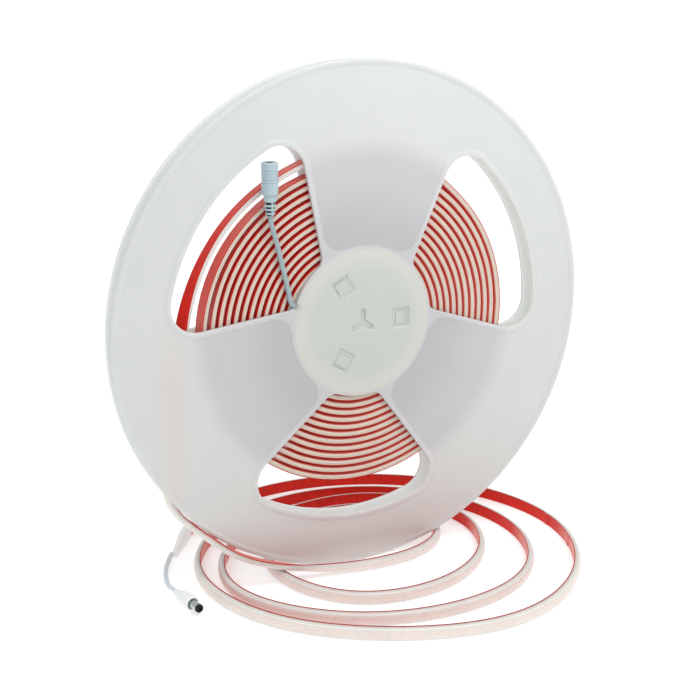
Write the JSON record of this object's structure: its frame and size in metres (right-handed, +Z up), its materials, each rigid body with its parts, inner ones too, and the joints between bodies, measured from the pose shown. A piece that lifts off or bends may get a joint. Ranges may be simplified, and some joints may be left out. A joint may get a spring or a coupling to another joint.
{
  "type": "led strip light on reel",
  "caption": "Dense-chip LED strip in a milky silicone jacket with red backing tape, wound on a translucent windowed plastic reel, with its outer end looped loose and barrel connector leads.",
  "frame": {"origin": "on the floor, under the middle of the reel's axis, halfway between the two flanges", "axes": "+Y along the reel's axis, from the front flange to the back one; +X to the right as seen from the front; +Z up"},
  "size_m": [0.3296, 0.2618, 0.3297],
  "materials": {
    "reel_plastic": "milky translucent",
    "wound_strip": "satin silicone edges with red tape between",
    "strip_silicone": "milky satin silicone",
    "liner_film": "smooth red release film",
    "white_moulding": "satin",
    "lead_sheath": "satin",
    "bright_metal": "bright nickel",
    "black_insulator": "satin"
  },
  "bodies": {
    "root": {"reel_front_half": "reel_plastic", "reel_back_half": "reel_plastic", "strip_coil": "wound_strip", "strip_run": "strip_silicone", "strip_run_liner": "liner_film", "strip_end_cap": "white_moulding", "outer_lead": "lead_sheath", "plug_body": "white_moulding", "plug_barrel": "bright_metal", "plug_tip": "black_insulator", "strip_inner_cap": "white_moulding", "inner_lead": "lead_sheath", "jack_body": "white_moulding", "jack_pin": "bright_metal"}
  },
  "joints": []
}
